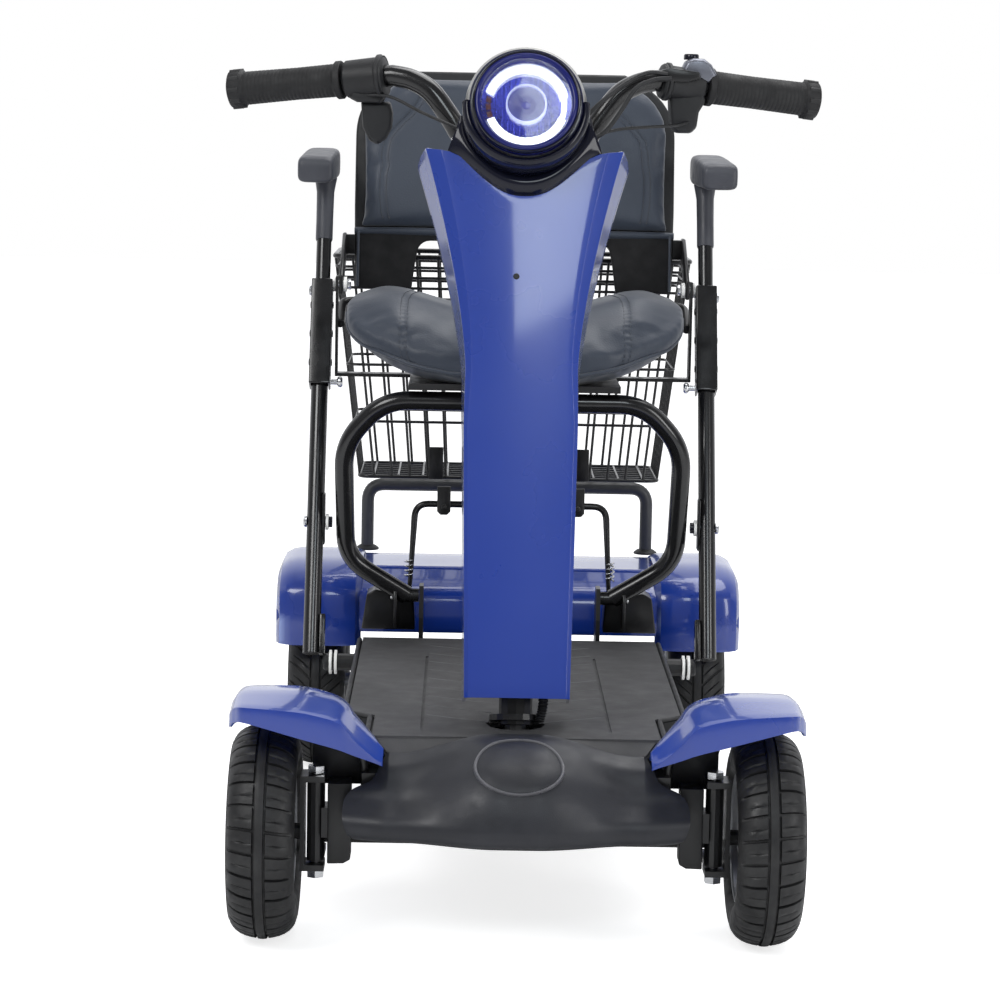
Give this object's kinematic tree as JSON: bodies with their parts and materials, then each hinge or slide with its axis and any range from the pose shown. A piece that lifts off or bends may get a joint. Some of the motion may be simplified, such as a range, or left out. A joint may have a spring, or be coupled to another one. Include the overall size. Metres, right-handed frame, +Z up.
{
  "type": "mobility scooter",
  "caption": "Folding four-wheel mobility scooter with a faired steering column, flat deck, folding seat frame with armrests and a rear wire basket.",
  "frame": {"origin": "on the ground, midway along the length, on the centre plane", "axes": "+X to the rider's left, +Y to the rear, +Z up; the scooter faces -Y"},
  "size_m": [0.624, 1.092, 0.883],
  "materials": {
    "paint": "satin powder coat",
    "body_blue": "gloss metallic paint",
    "black_plastic": "fine moulded texture",
    "gloss_black": "gloss",
    "tyre": "matt",
    "rubber": "matt",
    "leather": "soft satin grain",
    "alloy": "satin",
    "chrome": "bright",
    "lens": "clear",
    "red_plastic": "gloss"
  },
  "bodies": {
    "chassis": {"main_frame": "paint", "belly_pan": "black_plastic", "battery_pack": "gloss_black", "controller": "alloy", "deck_shell": "black_plastic", "deck_mat": "rubber", "front_cowl": "black_plastic", "front_fender_left": "body_blue", "front_fender_right": "body_blue", "rear_shell": "body_blue", "transaxle": "alloy", "basket_posts": "paint", "kingpin_left": "chrome", "kingpin_right": "chrome"},
    "knuckle_left": {"knuckle_left": "paint"},
    "knuckle_right": {"knuckle_right": "paint"},
    "front_wheel_left": {"front_tyre_left": "tyre", "front_rim_left": "alloy"},
    "front_wheel_right": {"front_tyre_right": "tyre", "front_rim_right": "alloy"},
    "rear_wheel_left": {"rear_tyre_left": "tyre", "rear_rim_left": "alloy"},
    "rear_wheel_right": {"rear_tyre_right": "tyre", "rear_rim_right": "alloy"},
    "track_rod": {"track_rod": "paint"},
    "steering_stem": {"steering_stem": "paint"},
    "tiller": {"tiller_column": "paint", "tiller_fairing": "body_blue", "tiller_back_cover": "black_plastic", "dash_shell": "gloss_black", "headlight_housing": "alloy", "headlight_bezel": "body_blue", "headlight_lens": "lens", "handlebar": "paint", "grip_left": "rubber", "grip_right": "rubber", "throttle_housing": "black_plastic", "switch_housing": "black_plastic"},
    "throttle_lever": {"throttle_lever": "black_plastic"},
    "horn_button": {"horn_button": "red_plastic"},
    "light_button": {"light_button": "chrome"},
    "key_switch": {"key_switch": "chrome"},
    "fold_lever": {"fold_lever": "chrome"},
    "u_frame": {"u_frame": "paint"},
    "side_arm_left": {"side_arm_left": "paint"},
    "side_arm_right": {"side_arm_right": "paint"},
    "armrest_left": {"armrest_post_left": "paint", "armrest_pad_left": "black_plastic"},
    "armrest_right": {"armrest_post_right": "paint", "armrest_pad_right": "black_plastic"},
    "lock_pin_left": {"lock_pin_left": "chrome"},
    "lock_pin_right": {"lock_pin_right": "chrome"},
    "seat": {"seat_pan": "paint", "seat_cushion": "leather"},
    "backrest": {"backrest_shell": "black_plastic", "backrest_cushion": "leather"},
    "basket": {"basket": "paint"},
    "bail": {"bail": "paint"}
  },
  "joints": [
    {"name": "steering", "type": "hinge", "parent": "chassis", "child": "steering_stem", "pos_m": [0, -0.361, 0.202], "axis": [0, 0.2588, 0.9659], "range_deg": [-30, 30]},
    {"name": "steer_left", "type": "hinge", "parent": "chassis", "child": "knuckle_left", "pos_m": [0.198, -0.439, 0.107], "axis": [0, 0, 1], "range_deg": [-24.5, 24.5]},
    {"name": "steer_right", "type": "hinge", "parent": "chassis", "child": "knuckle_right", "pos_m": [-0.198, -0.439, 0.107], "axis": [0, 0, 1], "range_deg": [-24.5, 24.5]},
    {"name": "track_rod_pivot", "type": "hinge", "parent": "knuckle_left", "child": "track_rod", "pos_m": [0.198, -0.374, 0.084], "axis": [0, 0, 1], "range_deg": [-24.5, 24.5]},
    {"name": "front_wheel_left_spin", "type": "hinge", "parent": "knuckle_left", "child": "front_wheel_left", "pos_m": [0.248, -0.439, 0.107], "axis": [1, 0, 0], "continuous": true},
    {"name": "front_wheel_right_spin", "type": "hinge", "parent": "knuckle_right", "child": "front_wheel_right", "pos_m": [-0.248, -0.439, 0.107], "axis": [1, 0, 0], "continuous": true},
    {"name": "rear_wheel_left_spin", "type": "hinge", "parent": "chassis", "child": "rear_wheel_left", "pos_m": [0.234, 0.331, 0.107], "axis": [1, 0, 0], "continuous": true},
    {"name": "rear_wheel_right_spin", "type": "hinge", "parent": "chassis", "child": "rear_wheel_right", "pos_m": [-0.234, 0.331, 0.107], "axis": [1, 0, 0], "continuous": true},
    {"name": "tiller_fold", "type": "hinge", "parent": "steering_stem", "child": "tiller", "pos_m": [0, -0.34444, 0.26382], "axis": [-1, 0, 0], "range_deg": [0, 30]},
    {"name": "fold_lever_pull", "type": "hinge", "parent": "tiller", "child": "fold_lever", "pos_m": [0.031, -0.34444, 0.26382], "axis": [1, 0, 0], "range_deg": [0, 35]},
    {"name": "throttle_press", "type": "hinge", "parent": "tiller", "child": "throttle_lever", "pos_m": [-0.166, -0.171, 0.855], "axis": [-0.9623, 0.2431, -0.1217], "range_deg": [0, 25]},
    {"name": "horn_button_press", "type": "slide", "parent": "tiller", "child": "horn_button", "axis": [0, -1, 0], "range_m": [0, 0.003]},
    {"name": "light_button_press", "type": "slide", "parent": "tiller", "child": "light_button", "axis": [0, 0, -1], "range_m": [0, 0.0025]},
    {"name": "key_turn", "type": "hinge", "parent": "tiller", "child": "key_switch", "pos_m": [-0.034, -0.2162, 0.6498], "axis": [0, 0.9659, -0.2588], "range_deg": [0, 90]},
    {"name": "frame_fold", "type": "hinge", "parent": "chassis", "child": "u_frame", "pos_m": [0, 0.133, 0.249], "axis": [1, 0, 0], "range_deg": [0, 80]},
    {"name": "arm_left_pivot", "type": "hinge", "parent": "u_frame", "child": "side_arm_left", "pos_m": [0.23, 0.113, 0.338], "axis": [1, 0, 0], "range_deg": [-90.5, 0.5]},
    {"name": "arm_right_pivot", "type": "hinge", "parent": "u_frame", "child": "side_arm_right", "pos_m": [-0.23, 0.113, 0.338], "axis": [1, 0, 0], "range_deg": [-90.5, 0.5]},
    {"name": "seat_level", "type": "hinge", "parent": "side_arm_left", "child": "seat", "pos_m": [0, 0.227, 0.61], "axis": [1, 0, 0], "range_deg": [-0.5, 10.5]},
    {"name": "backrest_fold", "type": "hinge", "parent": "seat", "child": "backrest", "pos_m": [0, 0.227, 0.61], "axis": [-1, 0, 0], "range_deg": [-75, 0]},
    {"name": "armrest_left_height", "type": "slide", "parent": "side_arm_left", "child": "armrest_left", "axis": [0, 0.3865, 0.9223], "range_m": [-0.02, 0.06]},
    {"name": "armrest_right_height", "type": "slide", "parent": "side_arm_right", "child": "armrest_right", "axis": [0, 0.3865, 0.9223], "range_m": [-0.02, 0.06]},
    {"name": "lock_pin_left_pull", "type": "slide", "parent": "side_arm_left", "child": "lock_pin_left", "axis": [-1, 0, 0], "range_m": [0, 0.006]},
    {"name": "lock_pin_right_pull", "type": "slide", "parent": "side_arm_right", "child": "lock_pin_right", "axis": [1, 0, 0], "range_m": [0, 0.006]},
    {"name": "basket_lift", "type": "slide", "parent": "chassis", "child": "basket", "axis": [0, 0, 1], "range_m": [0, 0.12]},
    {"name": "bail_fold", "type": "hinge", "parent": "chassis", "child": "bail", "pos_m": [0, 0.181, 0.242], "axis": [-1, 0, 0], "range_deg": [0, 65]}
  ],
  "couplings": [
    {"joint": "steer_left", "follows": "steering", "ratio": 0.8},
    {"joint": "steer_right", "follows": "steering", "ratio": 0.8},
    {"joint": "track_rod_pivot", "follows": "steering", "ratio": -0.8},
    {"joint": "arm_left_pivot", "follows": "frame_fold", "ratio": -1.125},
    {"joint": "arm_right_pivot", "follows": "frame_fold", "ratio": -1.125},
    {"joint": "seat_level", "follows": "frame_fold", "ratio": 0.125}
  ]
}
